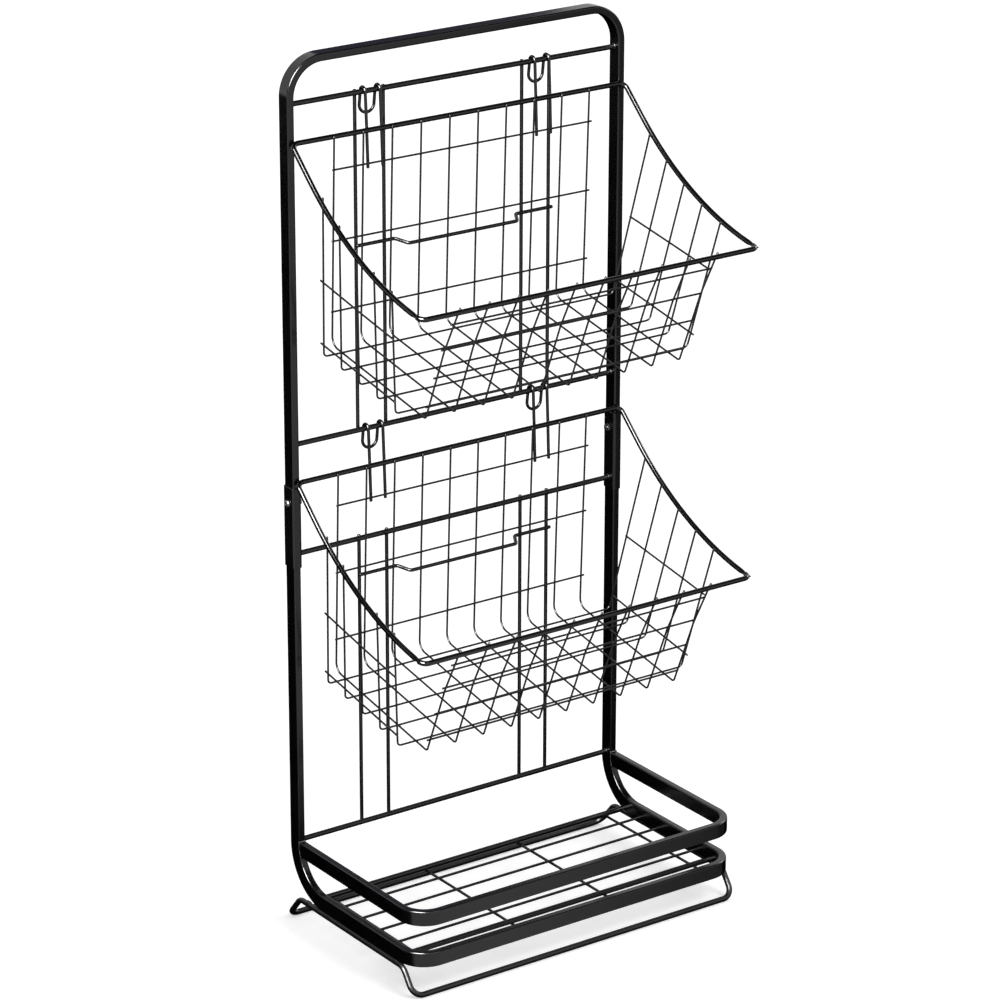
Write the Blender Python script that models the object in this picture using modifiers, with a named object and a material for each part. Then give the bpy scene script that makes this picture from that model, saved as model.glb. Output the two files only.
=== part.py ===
"""A tiered storage rack of welded wire: a two-part tube frame, a base shelf and two hanging baskets.

Metres, +Z up, the front toward -Y. The floor is Z = 0 and the origin is under the middle of the rack.
"""
import math

import bmesh
import bpy
from mathutils import Matrix, Vector

# Clearances between pieces that touch, and the distance under which a cap's loose points are one
gap = 0.0003
weld = 0.00001

# The flat-sided tube that the frame is bent from
tube_thickness = 0.008
tube_depth = 0.016
tube_wall = 0.001
tube_edge_radius = 0.0015

# The frame
frame_width = 0.401
frame_height = 0.9074
hoop_corner_radius = 0.0365
base_rail_height = 0.0402
upright_bend_radius = 0.05
base_corner_radius = 0.0265
base_reach = 0.214
guard_height = 0.085
guard_reach = 0.2145

# The joint of the upper hoop and the lower tube under the lower hanger bar: a sleeve that laps over
# both, with a screw under its top edge
tube_joint_drop = 0.0847
sleeve_lap = 0.042
sleeve_wall = 0.0009
screw_drop = 0.017
screw_radius = 0.002
screw_head_radius = 0.0038
screw_head_thickness = 0.0026
screw_crown_shares = ((0.92, 0.45), (0.65, 0.80), (0.25, 1.0))
nut_width = 0.007
nut_thickness = 0.0032
screw_end = 0.0008

# Cross bars, guide rods
crossbar_radius = 0.0026
hanger_bar_drop = 0.0468
tier_spacing = 0.3439
brace_upper_drop = 0.03
brace_lower_height = 0.0916
rod_radius = 0.00175
rod_outer_inset = 0.0809
rod_pair_gap = 0.0332
rod_overrun = 0.0022

# The base shelf
shelf_bar_radius = 0.00275
shelf_wire_radius = 0.0013
shelf_rear_place = 0.029
shelf_front_setback = 0.0325
shelf_cross_count = 4
shelf_cross_first = 0.0551
shelf_cross_spacing = 0.03237
shelf_long_count = 4
shelf_long_inset = 0.0228
shelf_long_setback = 0.003

# The foot wire under the base
foot_radius = 0.003
foot_outset = 0.0025
foot_bend_radius = 0.012
foot_rear_arm = 0.007
foot_rear_reach = 0.0151
foot_front_setback = 0.002
foot_front_slope = 0.019

# The basket's rim, seen from the cross bar that the basket hangs on
rim_radius = 0.0025
rim_back_place = 0.0106
rim_back_drop = 0.0361
rim_front_place = 0.2289
rim_front_drop = 0.1541
rim_side_place = 0.1205
rim_side_drop = 0.1378
rim_side_radius = 0.349
rim_back_corner = 0.007
rim_front_corner = 0.007

# The basket's wires
mesh_flat = 0.0018
mesh_bite = 0.0002
mesh_back_place = 0.0065
mesh_back_drop = 0.247
mesh_floor_length = 0.1637
mesh_floor_pitch = math.radians(10.6)
mesh_back_bend = 0.011
mesh_front_bend = 0.004
mesh_front_sag = 0.0031
mesh_front_sag_share = 0.59
mesh_front_sag_bend = 0.06
mesh_side_bend = 0.005
mesh_proud = 0.0016
bow_count = 10
bow_edge_inset = 0.0462
hoop_count = 5
hoop_first = 0.0202
hoop_spacing = 0.0314
hoop_floor_inset = 0.0233
back_wire_rises = (0.0348, 0.1071, 0.1793)
front_wire_rises = (0.0133, 0.0487, 0.0826, 0.1158)
side_wire_rises = (0.0157, 0.0852)
wall_wire_overrun = 0.00285
side_wire_overrun = 0.003

# The stand-off wire that holds the basket's back away from the frame
standoff_radius = 0.00175
standoff_drop = 0.1542
standoff_overrun = 0.0024
standoff_jog_inset = 0.0097
standoff_jog_length = 0.0075
standoff_bend_radius = 0.004
standoff_fall = 0.0027

# The hooks
hook_radius = 0.0015
hook_outset = 0.0015
hook_half_gap = 0.0086
hook_length = 0.075
hook_end_place = 0.008
hook_back_place = 0.0064
hook_back_drop = 0.0234
hook_bend_radius = 0.0086

# How finely bends are divided
bend_step = math.radians(15.0)
fine_step = math.radians(22.5)
sweep_step = math.radians(6.0)
sweep_radius = 0.1
round_sides = 20

for scene_object in list(bpy.data.objects):
    bpy.data.objects.remove(scene_object)

rack = bpy.data.collections.new("tiered_storage_rack")
bpy.context.scene.collection.children.link(rack)
guides = bpy.data.collections.new("cutters_and_guides")
bpy.context.scene.collection.children.link(guides)


def finish(name, colour, roughness, metallic):
    """A painted or plated metal."""
    material = bpy.data.materials.new(name)
    material.use_nodes = True
    shader = material.node_tree.nodes["Principled BSDF"]
    shader.inputs["Base Color"].default_value = (*colour, 1.0)
    shader.inputs["Roughness"].default_value = roughness
    shader.inputs["Metallic"].default_value = metallic
    return material


def group(name, place, parent=None):
    """An empty that a body's pieces hang on."""
    empty = bpy.data.objects.new(name, None)
    empty.location = place
    empty.parent = parent
    rack.objects.link(empty)
    return empty


def rounded(corners, radii, closed=False, step=bend_step):
    """The path through these corners, each rounded to its own radius."""
    path = []
    for index, corner in enumerate(corners):
        radius = radii[index]
        if radius == 0:
            path.append(corner)
            continue
        back = (corners[index - 1] - corner).normalized()
        ahead = (corners[(index + 1) % len(corners)] - corner).normalized()
        turn = math.pi - back.angle(ahead)
        centre = corner + (back + ahead).normalized() * radius / math.cos(turn / 2)
        start = corner + back * radius * math.tan(turn / 2) - centre
        axis = ahead.cross(back).normalized()
        steps = max(2, round(turn / (sweep_step if radius > sweep_radius else step)))
        for count in range(steps + 1):
            path.append(centre + Matrix.Rotation(turn * count / steps, 3, axis) @ start)
    return path


def curve(name, path, closed=False):
    """A curve object along a path, capped unless it is a loop."""
    data = bpy.data.curves.new(name, "CURVE")
    data.dimensions = "3D"
    data.use_fill_caps = not closed
    spline = data.splines.new("POLY")
    spline.points.add(len(path) - 1)
    for point, place in zip(spline.points, path):
        point.co = (*place, 1.0)
    spline.use_cyclic_u = closed
    return bpy.data.objects.new(name, data)


def as_mesh(shape, name):
    """The solid mesh of a curve, or of an object with its modifiers."""
    if shape.name not in bpy.context.scene.objects:
        guides.objects.link(shape)
    graph = bpy.context.evaluated_depsgraph_get()
    mesh = bpy.data.meshes.new_from_object(shape.evaluated_get(graph))
    mesh.name = name
    work = bmesh.new()
    work.from_mesh(mesh)
    bmesh.ops.remove_doubles(work, verts=work.verts, dist=weld)
    bmesh.ops.recalc_face_normals(work, faces=work.faces)
    work.to_mesh(mesh)
    work.free()
    bpy.data.objects.remove(shape)
    return mesh


def wire_mesh(name, path, radius, closed=False, resolution=2, tilt=0.0, twist="MINIMUM"):
    """A round wire along a path."""
    shape = curve(name, path, closed)
    shape.data.twist_mode = twist
    shape.data.bevel_depth = radius
    shape.data.bevel_resolution = resolution
    for point in shape.data.splines[0].points:
        point.tilt = tilt
    return as_mesh(shape, name)


def outline(name, width, depth, radius):
    """A rounded rectangle that a tube is swept with."""
    half_x = width / 2
    half_y = depth / 2
    corners = [
        Vector((half_x, half_y, 0.0)),
        Vector((-half_x, half_y, 0.0)),
        Vector((-half_x, -half_y, 0.0)),
        Vector((half_x, -half_y, 0.0)),
    ]
    shape = curve(name, rounded(corners, [radius] * len(corners), True, math.radians(45.0)), True)
    shape.data.dimensions = "2D"
    shape.data.fill_mode = "NONE"
    shape.hide_render = True
    guides.objects.link(shape)
    return shape


def swept_mesh(name, path, profile, capped=True):
    """A bar of one section along a path, or only its skin."""
    shape = curve(name, path)
    shape.data.bevel_mode = "OBJECT"
    shape.data.bevel_object = profile
    shape.data.use_fill_caps = capped
    return as_mesh(shape, name)


def place(name, mesh, material, parent, location=(0.0, 0.0, 0.0)):
    """A named piece of the rack."""
    piece = bpy.data.objects.new(name, mesh)
    if not mesh.materials:
        mesh.materials.append(material)
    piece.location = location
    piece.parent = parent
    rack.objects.link(piece)
    mesh.shade_smooth()
    mesh.set_sharp_from_angle(angle=math.radians(40.0))
    return piece


def cutter(name, mesh, parent, location=(0.0, 0.0, 0.0)):
    """A shape that is only taken away from others."""
    shape = bpy.data.objects.new(name, mesh)
    shape.location = location
    shape.parent = parent
    shape.hide_render = True
    shape.display_type = "WIRE"
    guides.objects.link(shape)
    return shape


def cut(piece, shape):
    """Takes a cutter's shape away from a piece."""
    step = piece.modifiers.new(shape.name, "BOOLEAN")
    step.operation = "DIFFERENCE"
    step.solver = "EXACT"
    step.object = shape


def turned(name, profile):
    """A solid of revolution about X from (along, radius) points."""
    data = bpy.data.meshes.new(name)
    work = bmesh.new()
    points = [work.verts.new((radius, 0.0, along)) for along, radius in profile]
    for first, second in zip(points, points[1:]):
        work.edges.new((first, second))
    work.to_mesh(data)
    work.free()
    shape = bpy.data.objects.new(name, data)
    turn = shape.modifiers.new("turn", "SCREW")
    turn.axis = "Z"
    turn.angle = math.tau
    turn.steps = round_sides
    turn.render_steps = round_sides
    turn.use_merge_vertices = True
    turn.merge_threshold = weld
    mesh = as_mesh(shape, name)
    mesh.transform(Matrix.Rotation(math.pi / 2, 4, "Y"))
    return mesh


# The rack stands with its origin under the middle of its own box
front_reach = rim_front_place + rim_radius
back_reach = foot_rear_reach + foot_radius * math.cos(math.pi / 8)
frame = group("frame", (0.0, (front_reach - back_reach) / 2, 0.0))

upper_bar_height = frame_height - hanger_bar_drop
hanger_bar_heights = (upper_bar_height, upper_bar_height - tier_spacing)
tube_joint_height = hanger_bar_heights[1] - tube_joint_drop
sleeve_bottom = tube_joint_height - sleeve_lap
sleeve_top = tube_joint_height + sleeve_lap
screw_height = sleeve_top - screw_drop
lower_bar_heights = (tube_joint_height - brace_upper_drop, brace_lower_height)
tube_centre = (frame_width - tube_thickness) / 2
inner_face = tube_centre - tube_thickness / 2
tube_outline = outline("tube_outline", tube_thickness, tube_depth, tube_edge_radius)
clear_outline = outline(
    "clear_outline", tube_thickness + 2 * gap, tube_depth + 2 * gap, tube_edge_radius + gap
)
sleeve_outline = outline(
    "sleeve_outline",
    tube_thickness + 2 * (gap + sleeve_wall),
    tube_depth + 2 * (gap + sleeve_wall),
    tube_edge_radius + gap + sleeve_wall,
)


def tube(name, path, profile, wall, material):
    """A bent tube with open ends."""
    piece = place(name, swept_mesh(name, path, profile, False), material, frame)
    shell = piece.modifiers.new("wall", "SOLIDIFY")
    shell.thickness = wall
    shell.offset = -1.0
    shell.use_even_offset = True
    return piece


# Upper hoop: an upside-down U whose ends plug into the sleeves
hoop_top = frame_height - tube_thickness / 2
hoop_corners = [
    Vector((-tube_centre, 0.0, tube_joint_height + gap)),
    Vector((-tube_centre, 0.0, hoop_top)),
    Vector((tube_centre, 0.0, hoop_top)),
    Vector((tube_centre, 0.0, tube_joint_height + gap)),
]
hoop_black = finish("upper_hoop_black", (0.018, 0.018, 0.019), 0.38, 0.0)
hoop_path = rounded(hoop_corners, [0, hoop_corner_radius, hoop_corner_radius, 0])
upper_hoop = tube("upper_hoop", hoop_path, tube_outline, tube_wall, hoop_black)

# Lower tube: up from the base on both sides, bent forward into the side rails and the front rail
lower_corners = [
    Vector((-tube_centre, 0.0, tube_joint_height)),
    Vector((-tube_centre, 0.0, base_rail_height)),
    Vector((-tube_centre, -base_reach, base_rail_height)),
    Vector((tube_centre, -base_reach, base_rail_height)),
    Vector((tube_centre, 0.0, base_rail_height)),
    Vector((tube_centre, 0.0, tube_joint_height)),
]
lower_radii = [0, upright_bend_radius, base_corner_radius, base_corner_radius, upright_bend_radius, 0]
lower_path = rounded(lower_corners, lower_radii)
lower_black = finish("lower_tube_black", (0.018, 0.018, 0.019), 0.38, 0.0)
tube("lower_tube", lower_path, tube_outline, tube_wall, lower_black)

# Guard rail: a U above the base, its ends cut to the uprights' bends
guard_corners = [
    Vector((-tube_centre, 0.0, guard_height)),
    Vector((-tube_centre, -guard_reach, guard_height)),
    Vector((tube_centre, -guard_reach, guard_height)),
    Vector((tube_centre, 0.0, guard_height)),
]
guard_path = rounded(guard_corners, [0, base_corner_radius, base_corner_radius, 0])
guard_black = finish("guard_rail_black", (0.018, 0.018, 0.019), 0.38, 0.0)
guard_rail = tube("guard_rail", guard_path, tube_outline, tube_wall, guard_black)
cut(guard_rail, cutter("lower_tube_clear", swept_mesh("clear", lower_path, clear_outline), frame))

# Sleeves with their screws and nuts, one pair for each side
sleeve_outer = tube_thickness / 2 + gap + sleeve_wall
sleeve_black = finish("sleeve_black", (0.018, 0.018, 0.019), 0.36, 0.0)
screw_steel = finish("screw_zinc", (0.35, 0.35, 0.34), 0.30, 1.0)
nut_steel = finish("nut_zinc", (0.30, 0.30, 0.30), 0.35, 1.0)
head_seat = sleeve_outer + gap
nut_seat = -sleeve_outer - gap
shank_tip = nut_seat - nut_thickness - screw_end
crown_points = [
    (head_seat + screw_head_thickness * high, screw_head_radius * wide)
    for high, wide in screw_crown_shares
]
screw_profile = [
    (head_seat + screw_head_thickness, 0.0),
    *crown_points,
    (head_seat, screw_head_radius),
    (head_seat, screw_radius),
    (shank_tip, screw_radius),
    (shank_tip, 0.0),
]
hole_profile = [
    (head_seat + screw_head_thickness, 0.0),
    (head_seat + screw_head_thickness, screw_radius + gap),
    (shank_tip, screw_radius + gap),
    (shank_tip, 0.0),
]
for side, sign in (("left", -1.0), ("right", 1.0)):
    column = Vector((sign * tube_centre, 0.0, 0.0))
    post = [column + Vector((0.0, 0.0, sleeve_bottom)), column + Vector((0.0, 0.0, sleeve_top))]
    sleeve = tube("sleeve_" + side, post, sleeve_outline, sleeve_wall, sleeve_black)
    spot = column + Vector((0.0, 0.0, screw_height))
    face = Matrix.Scale(sign, 4, Vector((1.0, 0.0, 0.0)))
    hole_mesh = turned("screw_hole_" + side, hole_profile)
    screw_mesh = turned("screw_" + side, screw_profile)
    nut_mesh = bpy.data.meshes.new("nut_" + side)
    work = bmesh.new()
    bmesh.ops.create_cone(
        work,
        cap_ends=True,
        segments=6,
        radius1=nut_width / 2 / math.cos(math.pi / 6),
        radius2=nut_width / 2 / math.cos(math.pi / 6),
        depth=nut_thickness,
        matrix=Matrix.Translation((nut_seat - nut_thickness / 2, 0.0, 0.0))
        @ Matrix.Rotation(math.pi / 2, 4, "Y"),
    )
    work.to_mesh(nut_mesh)
    work.free()
    for mesh in (hole_mesh, screw_mesh, nut_mesh):
        mesh.transform(face)
        if sign < 0:
            mesh.flip_normals()
    hole = cutter("screw_hole_" + side, hole_mesh, frame, spot)
    cut(sleeve, hole)
    cut(upper_hoop, hole)
    place("screw_" + side, screw_mesh, screw_steel, frame, spot)
    cut(place("nut_" + side, nut_mesh, nut_steel, frame, spot), hole)

# Cross bars between the uprights: two that the baskets hang on and two in the lower part
bar_black = finish("crossbar_black", (0.016, 0.016, 0.017), 0.36, 0.0)
for name, height in (
    ("hanger_bar_upper", hanger_bar_heights[0]),
    ("hanger_bar_lower", hanger_bar_heights[1]),
    ("brace_bar_upper", lower_bar_heights[0]),
    ("brace_bar_lower", lower_bar_heights[1]),
):
    in_sleeve = sleeve_bottom < height < sleeve_top
    reach = (tube_centre - sleeve_outer if in_sleeve else inner_face) - gap
    ends = [Vector((-reach, 0.0, 0.0)), Vector((reach, 0.0, 0.0))]
    place(name, wire_mesh(name, ends, crossbar_radius), bar_black, frame, (0.0, 0.0, height))

# Guide rods behind the cross bars, in pairs that the hooks drop between
rod_black = finish("rod_black", (0.016, 0.016, 0.017), 0.36, 0.0)
rod_place = crossbar_radius + gap + rod_radius
rod_outer_place = tube_centre - rod_outer_inset
rod_inner_place = rod_outer_place - rod_pair_gap
for part, heights in (("upper", hanger_bar_heights), ("lower", lower_bar_heights)):
    top = heights[0] + rod_overrun
    bottom = heights[1] - rod_overrun
    rod_mesh = wire_mesh(
        "rod_" + part, [Vector((0.0, 0.0, bottom)), Vector((0.0, 0.0, top))], rod_radius
    )
    for name, across in (
        ("left_outer", -rod_outer_place),
        ("left_inner", -rod_inner_place),
        ("right_inner", rod_inner_place),
        ("right_outer", rod_outer_place),
    ):
        place("rod_" + part + "_" + name, rod_mesh, rod_black, frame, (across, rod_place, 0.0))

# The base shelf: two bars and four cross wires over four long wires that pass under the front rail
shelf_black = finish("shelf_black", (0.016, 0.016, 0.017), 0.38, 0.0)
shelf_front_place = base_reach - shelf_front_setback
shelf_ends = [Vector((gap - inner_face, 0.0, 0.0)), Vector((inner_face - gap, 0.0, 0.0))]
shelf_height = base_rail_height - tube_depth / 2 - gap - shelf_wire_radius
bar_height = shelf_height + shelf_wire_radius + gap + shelf_bar_radius
for name, reach in (("shelf_bar_rear", shelf_rear_place), ("shelf_bar_front", shelf_front_place)):
    mesh = wire_mesh(name, shelf_ends, shelf_bar_radius)
    place(name, mesh, shelf_black, frame, (0.0, -reach, bar_height))
cross_height = shelf_height + 2 * shelf_wire_radius + gap
cross_mesh = wire_mesh("shelf_cross_wire", shelf_ends, shelf_wire_radius)
for index in range(shelf_cross_count):
    reach = shelf_cross_first + shelf_cross_spacing * index
    name = "shelf_cross_wire_" + str(index + 1)
    place(name, cross_mesh, shelf_black, frame, (0.0, -reach, cross_height))
long_ends = [
    Vector((0.0, -(shelf_rear_place - shelf_bar_radius), 0.0)),
    Vector((0.0, shelf_long_setback - base_reach, 0.0)),
]
long_mesh = wire_mesh("shelf_long_wire", long_ends, shelf_wire_radius)
long_outer_place = tube_centre - shelf_long_inset
for index in range(shelf_long_count):
    across = long_outer_place * (2 * index / (shelf_long_count - 1) - 1)
    name = "shelf_long_wire_" + str(index + 1)
    place(name, long_mesh, shelf_black, frame, (across, 0.0, shelf_height))

# The foot wire: one closed loop under the side rails, down to a run at the back and one in front.
# Its eight sides are turned so that both runs stand on a flat one.
foot_top = base_rail_height - tube_depth / 2 - gap - foot_radius
foot_half = tube_centre + foot_outset
foot_run = foot_radius * math.cos(math.pi / 8)
foot_front_reach = base_reach - foot_front_setback
foot_front_arm = foot_front_reach - foot_front_slope
foot_side = [
    Vector((foot_half, foot_rear_reach, foot_run)),
    Vector((foot_half, -foot_rear_arm, foot_top)),
    Vector((foot_half, -foot_front_arm, foot_top)),
    Vector((foot_half, -foot_front_reach, foot_run)),
]
foot_corners = foot_side + [Vector((-corner.x, corner.y, corner.z)) for corner in reversed(foot_side)]
foot_path = rounded(foot_corners, [foot_bend_radius] * len(foot_corners), True, fine_step)
foot_mesh = wire_mesh("foot_wire", foot_path, foot_radius, True, tilt=math.pi / 8, twist="Z_UP")
place("foot_wire", foot_mesh, finish("foot_black", (0.016, 0.016, 0.017), 0.38, 0.0), frame)

# The rim: a closed loop, level at the back and at the front, swept down along both sides
rim_half_width = frame_width / 2 - rim_radius
rim_side = [
    Vector((rim_half_width, -rim_back_place, -rim_back_drop)),
    Vector((rim_half_width, -rim_side_place, -rim_side_drop)),
    Vector((rim_half_width, -rim_front_place, -rim_front_drop)),
]
rim_corners = rim_side + [Vector((-corner.x, corner.y, corner.z)) for corner in reversed(rim_side)]
rim_radii = [rim_back_corner, rim_side_radius, rim_front_corner]
rim_path = rounded(rim_corners, rim_radii + rim_radii[::-1], True, fine_step)

# The welded wires of a basket, seen from the cross bar too. The floor runs forward and down.
floor_along = Vector((0.0, -math.cos(mesh_floor_pitch), -math.sin(mesh_floor_pitch)))
floor_up = Vector((0.0, -math.sin(mesh_floor_pitch), math.cos(mesh_floor_pitch)))
layer_step = mesh_flat - mesh_bite
inside_rim = rim_radius + gap + mesh_flat / 2
back_foot = Vector((0.0, -mesh_back_place, -mesh_back_drop))
front_foot = back_foot + floor_along * mesh_floor_length
back_top = Vector((0.0, -(rim_back_place + inside_rim), mesh_proud - rim_back_drop))
front_top = Vector((0.0, inside_rim - rim_front_place, mesh_proud + rim_radius / 2 - rim_front_drop))
back_along = (back_top - back_foot).normalized()
front_along = (front_top - front_foot).normalized()
across_axis = Vector((1.0, 0.0, 0.0))
back_inward = back_along.cross(across_axis)
back_inward = back_inward if back_inward.y < 0 else -back_inward
front_inward = front_along.cross(across_axis)
front_inward = front_inward if front_inward.y > 0 else -front_inward
front_length = (front_top - front_foot).length
sag_rise = front_length * mesh_front_sag_share
front_knee = front_foot + front_along * sag_rise + front_inward * mesh_front_sag
hoop_places = [hoop_first + hoop_spacing * index for index in range(hoop_count)]


def square_wire(name, path):
    """A mesh wire, four-sided so that crossings stay light."""
    corner = mesh_flat / 2 / math.cos(math.pi / 4)
    return wire_mesh(name, path, corner, resolution=0, tilt=math.pi / 4)


def rim_rise(along):
    """How high over the basket's floor the rim's side passes, at a distance along the floor."""
    seen = [((p - back_foot).dot(floor_along), (p - back_foot).dot(floor_up)) for p in rim_path]
    for first, second in zip(seen, seen[1:]):
        if first[0] <= along <= second[0]:
            share = (along - first[0]) / (second[0] - first[0])
            return first[1] + (second[1] - first[1]) * share
    return seen[-1][1]


# Outer layer: bows from the back, under the floor and up the front, and the side walls' wires
outer_wires = []
bow_outer_place = rim_half_width - bow_edge_inset
for index in range(bow_count):
    shift = across_axis * bow_outer_place * (2 * index / (bow_count - 1) - 1)
    corners = [spot + shift for spot in (back_top, back_foot, front_foot, front_knee, front_top)]
    bow = rounded(corners, [0, mesh_back_bend, mesh_front_bend, mesh_front_sag_bend, 0], step=fine_step)
    outer_wires.append(square_wire("bow", bow))

# Inner layer: hoops across the floor and up both sides, and the back and front walls' wires
inner_wires = []
hoop_top_half = rim_half_width - inside_rim
hoop_floor_half = rim_half_width - hoop_floor_inset
hoop_rises = [rim_rise(along) + mesh_proud for along in hoop_places]
for along, rise in zip(hoop_places, hoop_rises):
    foot = back_foot + floor_along * along + floor_up * layer_step
    top = foot + floor_up * (rise - layer_step)
    hoop = [
        top - across_axis * hoop_top_half,
        foot - across_axis * hoop_floor_half,
        foot + across_axis * hoop_floor_half,
        top + across_axis * hoop_top_half,
    ]
    hoop = rounded(hoop, [0, mesh_side_bend, mesh_side_bend, 0], step=fine_step)
    inner_wires.append(square_wire("hoop", hoop))
for foot, along, inward, sag, rises in (
    (back_foot, back_along, back_inward, 0.0, back_wire_rises),
    (front_foot, front_along, front_inward, mesh_front_sag, front_wire_rises),
):
    for rise in rises:
        slack = sag * min(rise / sag_rise, (front_length - rise) / (front_length - sag_rise))
        middle = foot + along * rise + inward * (layer_step + slack)
        half = across_axis * (bow_outer_place + wall_wire_overrun)
        inner_wires.append(square_wire("wall_wire", [middle - half, middle + half]))
for sign in (-1.0, 1.0):
    for level in side_wire_rises:
        run = []
        for along, rise in zip(hoop_places, hoop_rises):
            lean = (hoop_top_half - hoop_floor_half) / (rise - layer_step)
            across = hoop_floor_half + lean * (level - layer_step) + layer_step
            run.append(
                back_foot + floor_along * along + floor_up * level + across_axis * across * sign
            )
        start = run[0] + (run[0] - run[1]).normalized() * side_wire_overrun
        end = run[-1] + (run[-1] - run[-2]).normalized() * side_wire_overrun
        outer_wires.append(square_wire("side_wire", [start] + run[1:-1] + [end]))


def joined(name, meshes):
    """Several meshes in one, still separate bodies."""
    work = bmesh.new()
    for mesh in meshes:
        work.from_mesh(mesh)
    data = bpy.data.meshes.new(name)
    work.to_mesh(data)
    work.free()
    for mesh in meshes:
        bpy.data.meshes.remove(mesh)
    return data


welded = bpy.data.objects.new("welded", joined("outer_wires", outer_wires))
crossing = cutter("crossing_wires", joined("inner_wires", inner_wires), None)
union = welded.modifiers.new("weld", "BOOLEAN")
union.operation = "UNION"
union.solver = "EXACT"
union.object = crossing
basket_mesh = as_mesh(welded, "basket_wires")

# The stand-off: its middle is welded inside the back wall, its ends rest in front of the guide rods
standoff_end = rod_place - rod_radius - gap - standoff_radius
wall_lean = (back_top - back_foot).y / (back_top - back_foot).z
wall_place = back_foot.y + wall_lean * (mesh_back_drop - standoff_drop - standoff_fall)
standoff_middle = wall_place - mesh_flat / 2 - gap - standoff_radius
jog_outer_place = rod_inner_place - standoff_jog_inset
jog_inner_place = jog_outer_place - standoff_jog_length
standoff_side = [
    Vector((rod_outer_place + standoff_overrun, standoff_end, -standoff_drop)),
    Vector((jog_outer_place, standoff_end, -standoff_drop)),
    Vector((jog_inner_place, standoff_middle, -standoff_drop - standoff_fall)),
]
standoff_corners = [Vector((-corner.x, corner.y, corner.z)) for corner in standoff_side]
standoff_corners += standoff_side[::-1]
standoff_radii = [0] + [standoff_bend_radius] * (len(standoff_corners) - 2) + [0]
standoff_mesh = wire_mesh(
    "standoff", rounded(standoff_corners, standoff_radii, step=fine_step), standoff_radius
)

# A hook: a hairpin over the cross bar, its bend behind the bar and its two ends behind the rim
hook_over = crossbar_radius + gap + hook_radius
hook_rim_place = rim_back_place - rim_radius - gap - hook_radius
hook_leg = [
    Vector((hook_half_gap, -hook_end_place, -hook_length)),
    Vector((hook_half_gap, -hook_rim_place, -rim_back_drop)),
    Vector((hook_half_gap, -hook_over, 0.0)),
]
turns = round(math.pi / bend_step / 2)
for count in range(1, turns):
    angle = math.pi * count / turns
    spot = Vector((hook_half_gap, -hook_over * math.cos(angle), hook_over * math.sin(angle)))
    hook_leg.append(spot)
hook_leg.append(Vector((hook_half_gap, hook_over, 0.0)))
hook_leg.append(Vector((hook_half_gap, hook_back_place, hook_bend_radius - hook_back_drop)))
hook_path = list(hook_leg)
turns = round(math.pi / fine_step)
for count in range(1, turns):
    angle = math.pi * count / turns
    across = hook_half_gap * math.cos(angle)
    drop = hook_back_drop - hook_bend_radius + hook_bend_radius * math.sin(angle)
    hook_path.append(Vector((across, hook_back_place, -drop)))
hook_path += [Vector((-spot.x, spot.y, spot.z)) for spot in reversed(hook_leg)]
hook_mesh = wire_mesh("hook", hook_path, hook_radius)

# The two baskets, each with its pieces on its own cross bar's axis
hook_place = (rod_inner_place + rod_outer_place) / 2 + hook_outset
rim_mesh = wire_mesh("rim", rim_path, rim_radius, True)
rim_black = finish("rim_black", (0.017, 0.017, 0.018), 0.34, 0.0)
wires_black = finish("basket_wires_black", (0.015, 0.015, 0.016), 0.40, 0.0)
standoff_black = finish("standoff_black", (0.016, 0.016, 0.017), 0.38, 0.0)
hook_black = finish("hook_black", (0.016, 0.016, 0.017), 0.36, 0.0)
for name, height in zip(("upper", "lower"), hanger_bar_heights):
    basket = group("basket_" + name, (0.0, 0.0, height), frame)
    place("basket_rim_" + name, rim_mesh, rim_black, basket)
    place("basket_wires_" + name, basket_mesh, wires_black, basket)
    place("basket_standoff_" + name, standoff_mesh, standoff_black, basket)
    place("hook_left_" + name, hook_mesh, hook_black, basket, (-hook_place, 0.0, 0.0))
    place("hook_right_" + name, hook_mesh, hook_black, basket, (hook_place, 0.0, 0.0))
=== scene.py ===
import math

import bmesh
import bpy
from mathutils import Matrix, Vector


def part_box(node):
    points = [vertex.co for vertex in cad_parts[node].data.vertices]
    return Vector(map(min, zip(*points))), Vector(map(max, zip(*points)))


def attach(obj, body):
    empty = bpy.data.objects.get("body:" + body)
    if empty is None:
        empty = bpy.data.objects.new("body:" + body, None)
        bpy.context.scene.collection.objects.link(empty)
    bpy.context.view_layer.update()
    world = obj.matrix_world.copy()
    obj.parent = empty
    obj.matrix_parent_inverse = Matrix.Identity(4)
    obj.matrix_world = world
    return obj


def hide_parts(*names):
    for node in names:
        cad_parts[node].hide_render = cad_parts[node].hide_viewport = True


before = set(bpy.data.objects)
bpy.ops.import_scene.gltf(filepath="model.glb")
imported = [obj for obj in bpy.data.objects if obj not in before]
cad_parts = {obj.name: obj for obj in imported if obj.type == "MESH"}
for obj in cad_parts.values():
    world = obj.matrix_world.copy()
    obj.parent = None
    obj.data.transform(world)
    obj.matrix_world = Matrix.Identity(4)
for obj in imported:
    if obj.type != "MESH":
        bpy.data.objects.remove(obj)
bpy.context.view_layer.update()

# The bent frame: flat-sided steel tube with softly rounded edges. One length is bent into the upper
# hoop, another into the uprights' lower halves and the base rails. Both are powder coated in deep
# satin black, with the faint orange peel of such a coat.
hoop_low, hoop_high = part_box("upper_hoop")
plane = (hoop_low.y + hoop_high.y) / 2
part_gap = 0.0003  # left between pieces that touch
tube_thickness = 0.008
tube_depth = 0.016
tube_edge_radius = 0.0016
tube_centre = hoop_high.x - tube_thickness / 2
tube_black = (0.0011, 0.0011, 0.0016)
bend_step = math.radians(4.0)
fewest_steps = 4


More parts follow.
